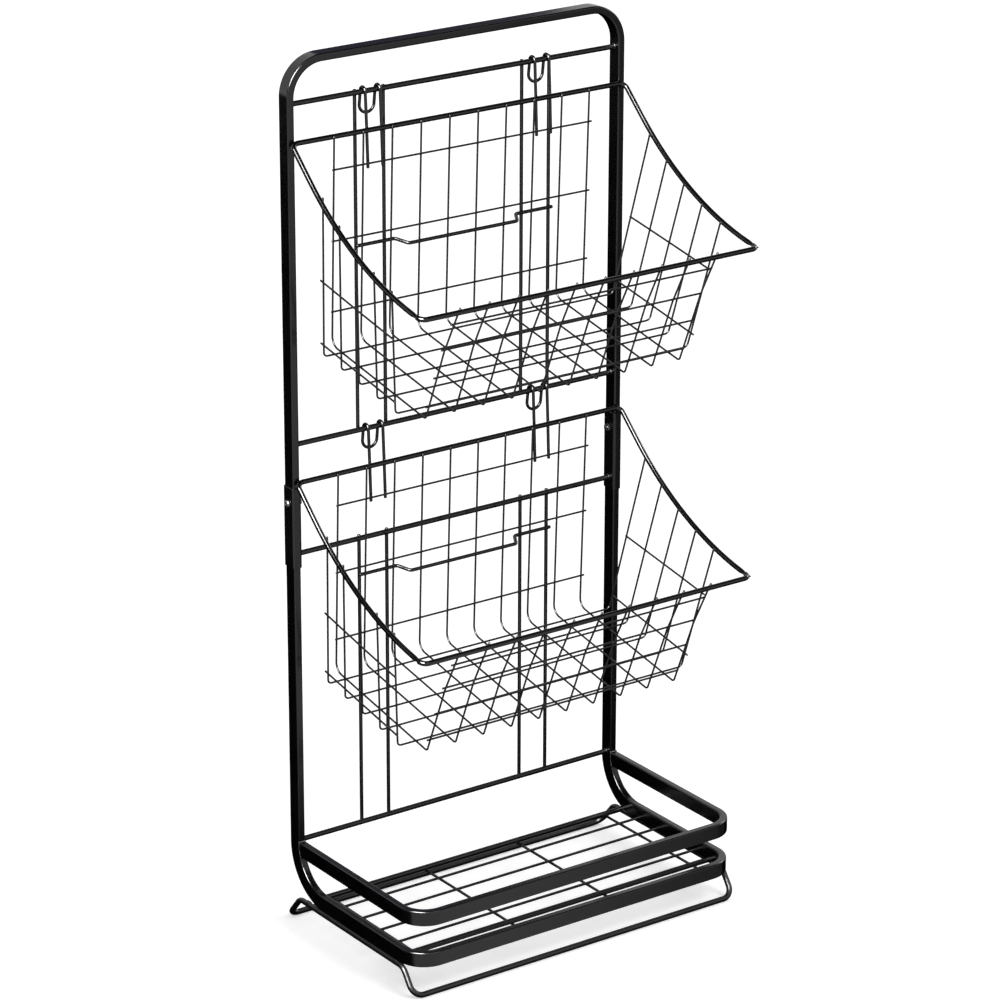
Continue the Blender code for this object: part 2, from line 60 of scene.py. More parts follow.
def rounded(corners, radii, step=bend_step):
    """The path through these corners, each bent to its own radius."""
    path = []
    for index, (corner, radius) in enumerate(zip(corners, radii)):
        if radius == 0:
            path.append(corner)
            continue
        back = (corners[index - 1] - corner).normalized()
        ahead = (corners[(index + 1) % len(corners)] - corner).normalized()
        turn = math.pi - back.angle(ahead)
        centre = corner + (back + ahead).normalized() * radius / math.cos(turn / 2)
        start = corner + back * radius * math.tan(turn / 2) - centre
        axis = ahead.cross(back).normalized()
        steps = max(fewest_steps, round(turn / step))
        for count in range(steps + 1):
            path.append(centre + Matrix.Rotation(turn * count / steps, 3, axis) @ start)
    return path


def mirrored(places):
    """The same places on the rack's other side, in reverse order."""
    return [Vector((-place.x, place.y, place.z)) for place in reversed(places)]


def placed(name, data):
    """A new object in the scene."""
    made = bpy.data.objects.new(name, data)
    bpy.context.scene.collection.objects.link(made)
    return made


def drawn(name, runs, closed=False, soft=0.0):
    """The paths of a piece as bare edges. The cut ends of open ones are eased over a length."""
    ease = ((0.0, 0.55), (0.12, 0.83), (0.35, 0.97), (0.6, 1.0))
    places = []
    edges = []
    widths = []
    for run in runs:
        marks = [(place, 1.0) for place in run]
        if soft:
            ahead = (run[1] - run[0]).normalized()
            back = (run[-2] - run[-1]).normalized()
            head = [(run[0] + ahead * soft * along, wide) for along, wide in ease]
            tail = [(run[-1] + back * soft * along, wide) for along, wide in reversed(ease)]
            marks = head + marks[1:-1] + tail
        first = len(places)
        places += [place for place, wide in marks]
        widths += [wide for place, wide in marks]
        edges += [(index, index + 1) for index in range(first, len(places) - 1)]
        if closed:
            edges.append((len(places) - 1, first))
    data = bpy.data.meshes.new(name)
    data.from_pydata(places, edges, [])
    data.attributes.new("wire_width", "FLOAT", "POINT").data.foreach_set("value", widths)
    return placed(name, data)


def node(tree, kind, feeds=None, **settings):
    """A node of a tree, each input fed from another node's output or set to a value."""
    made = tree.nodes.new(kind)
    for key, value in settings.items():
        setattr(made, key, value)
    for socket, source in (feeds or {}).items():
        if isinstance(source, bpy.types.NodeSocket):
            tree.links.new(source, made.inputs[socket])
        else:
            made.inputs[socket].default_value = source
    return made


def maths(tree, operation, *values):
    """A sum on the values of a tree."""
    return node(tree, "ShaderNodeMath", dict(enumerate(values)), operation=operation).outputs[0]


def scaled(tree, vector, factor):
    """A vector or a colour of a tree, made larger or smaller."""
    feeds = {0: vector, "Scale": factor}
    return node(tree, "ShaderNodeVectorMath", feeds, operation="SCALE").outputs[0]


def ranged(tree, value, low, high, least, most):
    """A value of a tree that lies from low to high, spread from least to most."""
    feeds = {"Value": value, "From Min": low, "From Max": high, "To Min": least, "To Max": most}
    return node(tree, "ShaderNodeMapRange", feeds).outputs[0]


def tree_of(name, sizes):
    """A geometry tree with a geometry in and out and named sizes."""
    tree = bpy.data.node_groups.new(name, "GeometryNodeTree")
    tree.interface.new_socket("Geometry", in_out="OUTPUT", socket_type="NodeSocketGeometry")
    tree.interface.new_socket("Geometry", in_out="INPUT", socket_type="NodeSocketGeometry")
    for label, kind in sizes.items():
        tree.interface.new_socket(label, in_out="INPUT", socket_type="NodeSocket" + kind)
    return tree, node(tree, "NodeGroupInput").outputs


def close_tree(tree, shape, finish):
    """Ends a tree in its realized mesh with its material."""
    real = node(tree, "GeometryNodeRealizeInstances", {"Geometry": shape})
    painted = node(
        tree, "GeometryNodeSetMaterial", {"Geometry": real.outputs[0], "Material": finish}
    )
    node(tree, "NodeGroupOutput", {"Geometry": painted.outputs[0]})


def settled(shape):
    """The plain mesh of a shape, with its modifiers in it."""
    graph = bpy.context.evaluated_depsgraph_get()
    return bpy.data.meshes.new_from_object(shape.evaluated_get(graph))


def built(shape, tree, sizes, body, nodes=()):
    """The plain mesh that a tree makes of a drawn shape, on its body and for its CAD nodes."""
    step = shape.modifiers.new("form", "NODES")
    step.node_group = tree
    for item in tree.interface.items_tree:
        if item.in_out == "INPUT" and item.name in sizes:
            step[item.identifier] = sizes[item.name]
    shape.modifiers.new("flats", "WEIGHTED_NORMAL").keep_sharp = True
    mesh = settled(shape)
    name = shape.name
    bpy.data.objects.remove(shape)
    piece = placed(name, mesh)
    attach(piece, body)
    if nodes:
        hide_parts(*nodes)
    return piece


def coat_group():
    """Powder coat: colour, gloss and orange peel that vary over the surface."""
    cloud_scale = 24.0
    cloud_middle = (0.3, 0.7)
    speck_scale = 700.0
    speck_edge = (0.05, 0.16)
    speck_lift = 0.8
    tone_range = (0.7, 1.35)
    roughness_range = (-0.015, 0.02)
    tree = bpy.data.node_groups.new("powder_coat", "ShaderNodeTree")
    for label, kind in (
        ("Colour", "Color"), ("Roughness", "Float"), ("Peel size", "Float"), ("Peel depth", "Float")
    ):
        tree.interface.new_socket(label, in_out="INPUT", socket_type="NodeSocket" + kind)
    for label, kind in (("Colour", "Color"), ("Roughness", "Float"), ("Normal", "Vector")):
        tree.interface.new_socket(label, in_out="OUTPUT", socket_type="NodeSocket" + kind)
    given = node(tree, "NodeGroupInput").outputs
    place = node(tree, "ShaderNodeTexCoord").outputs["Object"]
    density = maths(tree, "DIVIDE", 1.0, given["Peel size"])
    peel = node(
        tree,
        "ShaderNodeTexNoise",
        {"Vector": place, "Scale": density, "Detail": 3.0, "Roughness": 0.55},
    )
    cloud = node(
        tree, "ShaderNodeTexNoise", {"Vector": place, "Scale": cloud_scale, "Detail": 4.0}
    ).outputs[0]
    speck = node(tree, "ShaderNodeTexVoronoi", {"Vector": place, "Scale": speck_scale})
    pale = ranged(tree, speck.outputs["Distance"], *speck_edge, 1.0, 0.0)
    tone = ranged(tree, cloud, *cloud_middle, *tone_range)
    lift = maths(tree, "MULTIPLY_ADD", pale, speck_lift, tone)
    shade = scaled(tree, given["Colour"], lift)
    uneven = ranged(tree, cloud, *cloud_middle, *roughness_range)
    rough = maths(tree, "ADD", given["Roughness"], uneven)
    dimple = node(
        tree,
        "ShaderNodeBump",
        {"Strength": 0.55, "Distance": given["Peel depth"], "Height": peel.outputs[0]},
    )
    node(
        tree,
        "NodeGroupOutput",
        {"Colour": shade, "Roughness": rough, "Normal": dimple.outputs[0]},
    )
    return tree


powder = coat_group()
coat_gloss = 0.37


def coated(name, colour, roughness, peel_size=0.0022, peel_depth=0.000006):
    """A satin powder coat on steel."""
    material = bpy.data.materials.new(name)
    material.use_nodes = True
    tree = material.node_tree
    shader = tree.nodes["Principled BSDF"]
    effect = node(tree, "ShaderNodeGroup", node_tree=powder)
    effect.inputs["Colour"].default_value = (*colour, 1.0)
    effect.inputs["Roughness"].default_value = roughness
    effect.inputs["Peel size"].default_value = peel_size
    effect.inputs["Peel depth"].default_value = peel_depth
    shader.inputs["Specular IOR Level"].default_value = coat_gloss
    tree.links.new(effect.outputs["Colour"], shader.inputs["Base Color"])
    tree.links.new(effect.outputs["Roughness"], shader.inputs["Roughness"])
    tree.links.new(effect.outputs["Normal"], shader.inputs["Normal"])
    return material


bent_tube, given = tree_of(
    "bent_tube",
    {
        "Thickness": "Float",
        "Depth": "Float",
        "Edge radius": "Float",
        "Edge steps": "Int",
        "Finish": "Material",
    },
)
section = node(
    bent_tube,
    "GeometryNodeCurvePrimitiveQuadrilateral",
    {"Width": given["Thickness"], "Height": given["Depth"]},
)
section = node(
    bent_tube,
    "GeometryNodeFilletCurve",
    {"Curve": section.outputs[0], "Count": given["Edge steps"], "Radius": given["Edge radius"]},
    mode="POLY",
)
along = node(bent_tube, "GeometryNodeMeshToCurve", {"Mesh": given["Geometry"]})
skin = node(
    bent_tube,
    "GeometryNodeCurveToMesh",
    {"Curve": along.outputs[0], "Profile Curve": section.outputs[0], "Fill Caps": True},
)
close_tree(bent_tube, skin.outputs[0], given["Finish"])

tube_coat = coated("tube_coat", tube_black, roughness=0.2)
tube_sizes = {
    "Thickness": tube_thickness,
    "Depth": tube_depth,
    "Edge radius": tube_edge_radius,
    "Edge steps": 7,
    "Finish": tube_coat,
}
tube_joint = 0.432
hoop_bend = 0.0365
hoop_top = hoop_high.z - tube_thickness / 2
hoop_side = [
    Vector((-tube_centre, plane, tube_joint)),
    Vector((-tube_centre, plane, hoop_top)),
]
hoop_path = rounded(hoop_side + mirrored(hoop_side), [0, hoop_bend, hoop_bend, 0])
hoop = built(drawn("frame_hoop", [hoop_path]), bent_tube, tube_sizes, "frame", ["upper_hoop"])

rail_height = 0.0402
upright_bend = 0.05
rail_corner = 0.0265
base_front = plane - 0.214
lower_side = [
    Vector((-tube_centre, plane, tube_joint - part_gap)),
    Vector((-tube_centre, plane, rail_height)),
    Vector((-tube_centre, base_front, rail_height)),
]
lower_path = rounded(
    lower_side + mirrored(lower_side),
    [0, upright_bend, rail_corner, rail_corner, upright_bend, 0],
)
base = built(drawn("frame_base", [lower_path]), bent_tube, tube_sizes, "frame", ["lower_tube"])

# The guard rail: a U of the same tube above the base, its ends coped to the uprights' bends and
# welded there. The weld runs round each end as a small uneven bead under the coat.
guard_height = 0.085
guard_front = plane - 0.2145
cope_depth = 0.0012
guard_back = plane - tube_depth / 2 + cope_depth
guard_side = [
    Vector((-tube_centre, guard_back, guard_height)),
    Vector((-tube_centre, guard_front, guard_height)),
]
guard_path = rounded(guard_side + mirrored(guard_side), [0, rail_corner, rail_corner, 0])
guard = built(drawn("guard_tube", [guard_path]), bent_tube, tube_sizes, "frame", ["guard_rail"])

weld_black = (0.0026, 0.0026, 0.0028)
weld_coat = coated("weld_coat", weld_black, roughness=0.36, peel_size=0.0014, peel_depth=0.00002)
beads, given = tree_of(
    "weld_beads",
    {"Bead radius": "Float", "Unevenness": "Float", "Seed": "Int", "Finish": "Material"},
)
ball = node(
    beads,
    "GeometryNodeMeshUVSphere",
    {"Segments": 10, "Rings": 6, "Radius": given["Bead radius"]},
)
stretch = node(
    beads, "GeometryNodeInputNamedAttribute", {"Name": "bead_stretch"}, data_type="FLOAT_VECTOR"
)
least = maths(beads, "SUBTRACT", 1.0, given["Unevenness"])
most = maths(beads, "ADD", 1.0, given["Unevenness"])
chance = node(
    beads,
    "FunctionNodeRandomValue",
    {2: least, 3: most, "Seed": given["Seed"]},
    data_type="FLOAT",
)
spots = node(beads, "GeometryNodeMeshToPoints", {"Mesh": given["Geometry"]})
copies = node(
    beads,
    "GeometryNodeInstanceOnPoints",
    {
        "Points": spots.outputs[0],
        "Instance": ball.outputs[0],
        "Scale": scaled(beads, stretch.outputs["Attribute"], chance.outputs[1]),
    },
)
smooth = node(beads, "GeometryNodeSetShadeSmooth", {"Geometry": copies.outputs[0]})
close_tree(beads, smooth.outputs[0], given["Finish"])


def welded(name, spots, body, radius, seed, uneven=0.18):
    """Small weld beads at (place, stretch) spots."""
    data = bpy.data.meshes.new(name)
    data.from_pydata([place for place, stretch in spots], [], [])
    pulls = data.attributes.new("bead_stretch", "FLOAT_VECTOR", "POINT")
    pulls.data.foreach_set("vector", [value for place, stretch in spots for value in stretch])
    sizes = {"Bead radius": radius, "Unevenness": uneven, "Seed": seed, "Finish": weld_coat}
    piece = built(placed(name, data), beads, sizes, body)


def seam(height):
    """The front face of the upright's bend at a height."""
    below = max(0.0, rail_height + upright_bend - height)
    inner = upright_bend - tube_depth / 2
    return plane - upright_bend + math.sqrt(inner**2 - below**2)


side_beads = 12
side_share = 0.9
edge_beads = 5
edge_share = 0.8
bead_inset = 0.0004
side_stretch = (0.8, 1.0, 1.1)
edge_stretch = (1.1, 1.0, 0.7)
guard_spots = []
for side in (-1.0, 1.0):
    for edge in (-1.0, 1.0):
        for count in range(side_beads):
            height = guard_height + tube_depth * (count / (side_beads - 1) - 0.5) * side_share
            across = side * tube_centre + edge * (tube_thickness / 2 - bead_inset)
            guard_spots.append((Vector((across, seam(height), height)), side_stretch))
        for count in range(edge_beads):
            step = (count / (edge_beads - 1) - 0.5) * edge_share
            across = side * tube_centre + tube_thickness * step
            height = guard_height + edge * tube_depth / 2
            guard_spots.append((Vector((across, seam(height), height)), edge_stretch))
welded("guard_welds", guard_spots, "frame", radius=0.0010, seed=3, uneven=0.12)

# The sleeves that join hoop and base on each side: thin pressed tube a little larger than the
# frame's, slid half over each end. A pan head screw goes through each, with a nut on the inside.
sleeve_low, sleeve_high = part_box("sleeve_left")
sleeve_wall = 0.0009
sleeve_lip = 0.0003
sleeve_edge_step = math.radians(11.0)
sleeve_thickness = sleeve_high.x - sleeve_low.x
sleeve_depth = sleeve_high.y - sleeve_low.y
sleeve_coat = coated("sleeve_coat", (0.0018, 0.0018, 0.0022), roughness=0.22)
both_sides = (("left", -1.0), ("right", 1.0))
zinc_dark = (0.10, 0.10, 0.105, 1.0)
zinc_pale = (0.19, 0.19, 0.195, 1.0)
zinc_gloss = (0.24, 0.42)
zinc = bpy.data.materials.new("black_zinc")
zinc.use_nodes = True
tree = zinc.node_tree
shader = tree.nodes["Principled BSDF"]
place = node(tree, "ShaderNodeTexCoord").outputs["Object"]
fine = node(
    tree, "ShaderNodeTexNoise", {"Vector": place, "Scale": 1900.0, "Detail": 3.0}
).outputs[0]
tint = node(tree, "ShaderNodeValToRGB", {"Fac": fine})
dark, pale = tint.color_ramp.elements
dark.position = 0.3
dark.color = zinc_dark
pale.position = 0.7
pale.color = zinc_pale
gloss = ranged(tree, fine, 0.0, 1.0, *zinc_gloss)
scratch = node(tree, "ShaderNodeBump", {"Strength": 0.3, "Distance": 0.00003, "Height": fine})
tree.links.new(tint.outputs[0], shader.inputs["Base Color"])
tree.links.new(gloss, shader.inputs["Roughness"])
tree.links.new(scratch.outputs[0], shader.inputs["Normal"])
shader.inputs["Metallic"].default_value = 1.0


def plain(name, mesh, body, nodes):
    """A finished mesh as a piece on its body, for its CAD nodes."""
    piece = placed(name, mesh)
    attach(piece, body)
    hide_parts(*nodes)
    return piece


def turned_out(work, name):
    """The mesh of finished work, with its faces outwards."""
    bmesh.ops.recalc_face_normals(work, faces=work.faces)
    mesh = bpy.data.meshes.new(name)
    work.to_mesh(mesh)
    work.free()
    return mesh


def walled(work, loops, name):
    """The mesh of a closed wall that runs through all loops and back to the first."""
    for first, second in zip(loops, loops[1:] + loops[:1]):
        for index in range(len(first)):
            after = (index + 1) % len(first)
            work.faces.new((first[index], first[after], second[after], second[index]))
    return turned_out(work, name)


def sleeve_mesh(centre):
    """A sleeve's wall with softened lips: rounded loops stacked outside, over and inside."""
    rows = [
        (sleeve_low.z + sleeve_lip, 0.0),
        (sleeve_low.z, sleeve_lip),
        (sleeve_low.z, sleeve_wall - sleeve_lip / 2),
        (sleeve_low.z + sleeve_lip, sleeve_wall),
        (sleeve_high.z - sleeve_lip, sleeve_wall),
        (sleeve_high.z, sleeve_wall - sleeve_lip / 2),
        (sleeve_high.z, sleeve_lip),
        (sleeve_high.z - sleeve_lip, 0.0),
    ]
    work = bmesh.new()
    loops = []
    for height, inset in rows:
        half_x = sleeve_thickness / 2 - inset
        half_y = sleeve_depth / 2 - inset
        radius = tube_edge_radius + part_gap + sleeve_wall - inset
        corners = [
            Vector((half_x, half_y, height)),
            Vector((-half_x, half_y, height)),
            Vector((-half_x, -half_y, height)),
            Vector((half_x, -half_y, height)),
        ]
        ring = rounded(corners, [radius] * 4, sleeve_edge_step)
        loops.append([work.verts.new(place + centre) for place in ring])
    mesh = walled(work, loops, "sleeve")
    mesh.shade_smooth()
    mesh.set_sharp_from_angle(angle=math.radians(35.0))
    mesh.materials.append(sleeve_coat)
    return mesh


for side, sign in both_sides:
    wall = sleeve_mesh(Vector((sign * tube_centre, plane, 0.0)))
    sleeve = plain("joint_sleeve_" + side, wall, "frame", ["sleeve_" + side])
    sleeve.modifiers.new("flats", "WEIGHTED_NORMAL").keep_sharp = True

screw_height = 0.457
screw_seat = sleeve_thickness / 2 + part_gap
head_profile = [
    (0.0026, 0.0),
    (0.00256, 0.0008),
    (0.00242, 0.0017),
    (0.0021, 0.0026),
    (0.0016, 0.0032),
    (0.0009, 0.0036),
    (0.0003, 0.0037),
    (0.0, 0.0034),
    (0.0, 0.0019),
]
nut_seat = -sleeve_thickness / 2 - part_gap
nut_thickness = 0.0032
nut_width = 0.007


def ring_of(work, along, radii):
    """A ring of points about X, one at each radius."""
    ring = []
    for count, radius in enumerate(radii):
        angle = math.tau * count / len(radii)
        ring.append(work.verts.new((along, radius * math.cos(angle), radius * math.sin(angle))))
    return ring


def lathed(profile, sides, name):
    """The mesh of a solid of revolution about X."""
    work = bmesh.new()
    rings = []
    for along, radius in profile:
        if radius == 0:
            rings.append([work.verts.new((along, 0.0, 0.0))])
        else:
            rings.append(ring_of(work, along, [radius] * sides))
    for first, second in zip(rings, rings[1:]):
        for index in range(sides):
            after = (index + 1) % sides
            if len(first) == 1:
                work.faces.new((first[0], second[index], second[after]))
            elif len(second) == 1:
                work.faces.new((first[index], second[0], first[after]))
            else:
                work.faces.new((first[index], second[index], second[after], first[after]))
    return turned_out(work, name)


shank_radius = 0.0019
thread_crest = 0.00195
thread_root = 0.0017
thread_pitch = 0.00028
thread_turns = 5
tip_radius = 0.0014
nut_face = nut_seat - nut_thickness
shank_end = nut_face + 0.001
thread_start = nut_face + 0.0006
tip = nut_face - 0.0008
thread = []
for count in range(thread_turns):
    along = thread_start - thread_pitch * count
    thread += [(along, thread_crest), (along - thread_pitch / 2, thread_root)]
shank = [(screw_seat + along, radius) for along, radius in head_profile]
shank += [(shank_end, shank_radius), *thread, (tip, tip_radius), (tip, 0.0)]
recess_turn = 0.4
recess_arm = (0.0032, 0.0044, 0.00085)
recess_middle = screw_seat + 0.0028
cross = bmesh.new()
for turn in (recess_turn, recess_turn + math.pi / 2):
    arm = bmesh.ops.create_cube(cross, size=1.0)
    lie = Matrix.Rotation(turn, 4, "X") @ Matrix.Diagonal((*recess_arm, 1.0))
    seat = Matrix.Translation((recess_middle, 0.0, 0.0)) @ lie
    bmesh.ops.transform(cross, verts=arm["verts"], matrix=seat)
recess_mesh = bpy.data.meshes.new("recess")
cross.to_mesh(recess_mesh)
cross.free()
recess = placed("recess", recess_mesh)
screw_shape = placed("screw", lathed(shank, sides=36, name="screw"))
bite = screw_shape.modifiers.new("recess", "BOOLEAN")
bite.object = recess
bite.solver = "EXACT"
bite.use_self = True
screw_mesh = settled(screw_shape)
bpy.data.objects.remove(recess)
bpy.data.objects.remove(screw_shape)

nut_points = 36
nut_ease = 0.0003
nut_bore = 0.0021
nut_round = 1.02
hexagon = []
for count in range(nut_points):
    angle = math.tau * count / nut_points
    side_angle = (angle + math.pi / 6) % (math.pi / 3) - math.pi / 6
    hexagon.append(nut_width / 2 / math.cos(side_angle))
eased = [min(radius, nut_width / 2 * nut_round) for radius in hexagon]
bore = [nut_bore] * nut_points
nut_work = bmesh.new()
nut_loops = [
    ring_of(nut_work, along, radii)
    for along, radii in (
        (nut_seat, eased),
        (nut_seat - nut_ease, hexagon),
        (nut_face + nut_ease, hexagon),
        (nut_face, eased),
        (nut_face, bore),
        (nut_seat, bore),
    )
]
nut_mesh = walled(nut_work, nut_loops, "nut")

for side, sign in both_sides:
    turn = Matrix.Rotation(math.pi if sign < 0 else 0.0, 4, "Z")
    seat = Matrix.Translation((sign * tube_centre, plane, screw_height)) @ turn
    for kind, source in (("screw", screw_mesh), ("nut", nut_mesh)):
        mesh = source.copy()
        mesh.transform(seat)
        mesh.shade_smooth()
        mesh.set_sharp_from_angle(angle=math.radians(28.0))
        mesh.materials.clear()
        mesh.materials.append(zinc)
        plain("joint_" + kind + "_" + side, mesh, "frame", [kind + "_" + side])

# The cross bars: 5.2 mm round rod butted between the uprights and welded all round. The baskets
# hook over two of them, one more stiffens the sleeve joint and one the base.
round_wire, given = tree_of(
    "round_wire", {"Radius": "Float", "Sides": "Int", "Finish": "Material"}
)


def sweep_round(tree, given, path):
    """A round wire along every run of a drawn path."""
    section = node(
        tree,
        "GeometryNodeCurvePrimitiveCircle",
        {"Resolution": given["Sides"], "Radius": given["Radius"]},
    )
    width = node(tree, "GeometryNodeInputNamedAttribute", {"Name": "wire_width"}, data_type="FLOAT")
    skin = node(
        tree,
        "GeometryNodeCurveToMesh",
        {
            "Curve": path,
            "Profile Curve": section.outputs[0],
            "Scale": width.outputs["Attribute"],
            "Fill Caps": True,
        },
    )
    return node(tree, "GeometryNodeSetShadeSmooth", {"Geometry": skin.outputs[0]}).outputs[0]


along = node(round_wire, "GeometryNodeMeshToCurve", {"Mesh": given["Geometry"]})
close_tree(round_wire, sweep_round(round_wire, given, along.outputs[0]), given["Finish"])
coat_thickness = 0.00012


def wired(name, runs, radius, coat, body, cad, sides, closed=False, soft=0.0):
    """Round wire under its coat along every run, on its body and for its CAD node."""
    sizes = {"Radius": radius + coat_thickness, "Sides": sides, "Finish": coat}
    return built(drawn(name, runs, closed, soft), round_wire, sizes, body, [cad])


wire_black = (0.0020, 0.0020, 0.0022)
bar_radius = 0.0026
bar_coat = coated("bar_coat", wire_black, roughness=0.25)
bar_reach = tube_centre - tube_thickness / 2
bars = {
    "hanger_bar_upper": (0.8606, bar_reach),
    "hanger_bar_lower": (0.5167, bar_reach),
    "brace_bar_upper": (0.402, tube_centre - sleeve_thickness / 2),
    "brace_bar_lower": (0.0916, bar_reach),
}
weld_sink = 0.0002
bar_spots = []
for name, (height, reach) in bars.items():
    run = [Vector((-reach, plane, height)), Vector((reach, plane, height))]
    bar = wired("round_" + name, [run], bar_radius, bar_coat, "frame", name, sides=24)
    for side in (-1.0, 1.0):
        spot = Vector((side * (reach - weld_sink), plane, height))
        bar_spots.append((spot, (0.5, 1.2, 1.2)))
welded("bar_welds", bar_spots, "frame", radius=bar_radius, seed=5, uneven=0.05)

# The guide rods: four 3.5 mm rods behind each pair of cross bars, resistance welded to them. The
# hooks' hairpins and the baskets' stand-offs rest against them.
rod_radius = 0.00175
rod_plane = plane + bar_radius + part_gap + rod_radius
rod_overrun = 0.0022
rod_outer = 0.1156
rod_inner = 0.0824
rod_places = (
    ("left_outer", -rod_outer),
    ("left_inner", -rod_inner),
    ("right_inner", rod_inner),
    ("right_outer", rod_outer),
)
rod_coat = coated("rod_coat", wire_black, roughness=0.26)
rod_spots = []
for part, pair in (
    ("upper", ("hanger_bar_upper", "hanger_bar_lower")),
    ("lower", ("brace_bar_upper", "brace_bar_lower")),
):
    top = bars[pair[0]][0] + rod_overrun
    bottom = bars[pair[1]][0] - rod_overrun
    for place, across in rod_places:
        run = [Vector((across, rod_plane, bottom)), Vector((across, rod_plane, top))]
        rod = wired(
            "guide_" + part + "_" + place,
            [run],
            rod_radius,
            rod_coat,
            "frame",
            "rod_" + part + "_" + place,
            sides=20,
            soft=rod_radius,
        )
        for name in pair:
            spot = Vector((across, plane + bar_radius, bars[name][0]))
            rod_spots.append((spot, (1.0, 0.62, 1.0)))
welded("rod_welds", rod_spots, "frame", radius=0.0018, seed=7)

# The base shelf: two 5.5 mm bars and four thin cross wires between the side rails, over four long
# wires that run on under the front rail. Each crossing is a spot weld.
shelf_bar_radius = 0.00275
shelf_wire_radius = 0.0013
shelf_height = rail_height - tube_depth / 2 - part_gap - shelf_wire_radius
shelf_coat = coated("shelf_coat", wire_black, roughness=0.28)
shelf_bar_height = shelf_height + shelf_wire_radius + part_gap + shelf_bar_radius
cross_height = shelf_height + 2 * shelf_wire_radius + part_gap
shelf_rear = 0.029
shelf_front = 0.1815
cross_first = 0.0551
cross_spacing = 0.03237
cross_count = 4
shelf_bar_sides = 22
shelf_wire_sides = 14
rows = [
    ("shelf_bar_rear", shelf_rear, shelf_bar_height, shelf_bar_radius, shelf_bar_sides),
    ("shelf_bar_front", shelf_front, shelf_bar_height, shelf_bar_radius, shelf_bar_sides),
]
for index in range(cross_count):
    name = "shelf_cross_wire_" + str(index + 1)
    reach = cross_first + cross_spacing * index
    rows.append((name, reach, cross_height, shelf_wire_radius, shelf_wire_sides))
long_places = (-0.1737, -0.0579, 0.0579, 0.1737)
collar_share = 800.0
shelf_spots = []
for name, reach, height, radius, sides in rows:
    run = [Vector((-bar_reach, plane - reach, height)), Vector((bar_reach, plane - reach, height))]
    wire = wired("round_" + name, [run], radius, shelf_coat, "frame", name, sides)
    for side in (-1.0, 1.0):
        spot = Vector((side * (bar_reach - weld_sink), plane - reach, height))
        shelf_spots.append((spot, (0.6, radius * collar_share, radius * collar_share)))
    for across in long_places:
        spot = Vector((across, plane - reach, shelf_height + shelf_wire_radius))
        shelf_spots.append((spot, (1.0, 1.0, 0.6)))
rail_weld = 0.0045
for across in long_places:
    spot = Vector((across, base_front + rail_weld, shelf_height + shelf_wire_radius))
    shelf_spots.append((spot, (0.9, 1.2, 0.5)))

wire_row, given = tree_of(
    "wire_row",
    {"Radius": "Float", "Sides": "Int", "Count": "Int", "Spacing": "Float", "Finish": "Material"},
)
step = node(wire_row, "ShaderNodeCombineXYZ", {"X": given["Spacing"]}).outputs[0]
gaps = maths(wire_row, "SUBTRACT", given["Count"], 1.0)
half = maths(wire_row, "MULTIPLY", gaps, -0.5)
line = node(
    wire_row,
    "GeometryNodeMeshLine",
    {
        "Count": given["Count"],
        "Start Location": scaled(wire_row, step, half),
        "Offset": step,
    },
)
row = node(
    wire_row,
    "GeometryNodeInstanceOnPoints",
    {"Points": line.outputs[0], "Instance": given["Geometry"]},
)
single = node(wire_row, "GeometryNodeRealizeInstances", {"Geometry": row.outputs[0]})
along = node(wire_row, "GeometryNodeMeshToCurve", {"Mesh": single.outputs[0]})
close_tree(wire_row, sweep_round(wire_row, given, along.outputs[0]), given["Finish"])

long_tail = 0.003
long_run = [
    Vector((0.0, plane - shelf_rear + shelf_bar_radius, shelf_height)),
    Vector((0.0, base_front + long_tail, shelf_height)),
]
long_wires = built(
    drawn("shelf_long_wires", [long_run], soft=shelf_wire_radius),
    wire_row,
    {
        "Radius": shelf_wire_radius + coat_thickness,
        "Sides": shelf_wire_sides,
        "Count": len(long_places),
        "Spacing": long_places[1] - long_places[0],
        "Finish": shelf_coat,
    },
    "frame",
    ["shelf_long_wire_1", "shelf_long_wire_2", "shelf_long_wire_3", "shelf_long_wire_4"],
)
welded("shelf_welds", shelf_spots, "frame", radius=0.0013, seed=11)

# The foot wire: one closed loop of 6 mm rod welded under the side rails. It dips to the floor in a
# wide run in front and another behind, and these two runs carry the rack.
foot_radius = 0.003
foot_bend = 0.012
foot_top = rail_height - tube_depth / 2 - part_gap - foot_radius
foot_aside = 0.0025
foot_half = tube_centre + foot_aside
foot_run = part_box("foot_wire")[0].z + foot_radius
foot_coat = coated("foot_coat", wire_black, roughness=0.32)
wire_step = math.radians(9.0)
foot_side = [
    Vector((foot_half, plane + 0.0151, foot_run)),
    Vector((foot_half, plane - 0.007, foot_top)),
    Vector((foot_half, plane - 0.193, foot_top)),
    Vector((foot_half, plane - 0.212, foot_run)),
]
foot_corners = foot_side + mirrored(foot_side)
foot_path = rounded(foot_corners, [foot_bend] * len(foot_corners), wire_step)
foot = built(
    drawn("foot_loop", [foot_path], closed=True),
    round_wire,
    {"Radius": foot_radius, "Sides": 24, "Finish": foot_coat},
    "frame",
    ["foot_wire"],
)
foot_weld_places = (0.022, 0.062, 0.138, 0.178)
foot_weld_aside = 0.0015
foot_weld_height = foot_top + foot_radius - 0.0005
foot_spots = []
for side in (-1.0, 1.0):
    for reach in foot_weld_places:
        for edge in (-1.0, 1.0):
            across = side * foot_half + edge * foot_weld_aside
            spot = Vector((across, plane - reach, foot_weld_height))
            foot_spots.append((spot, (0.7, 3.6, 0.7)))
welded("foot_welds", foot_spots, "frame", radius=0.0014, seed=13, uneven=0.1)

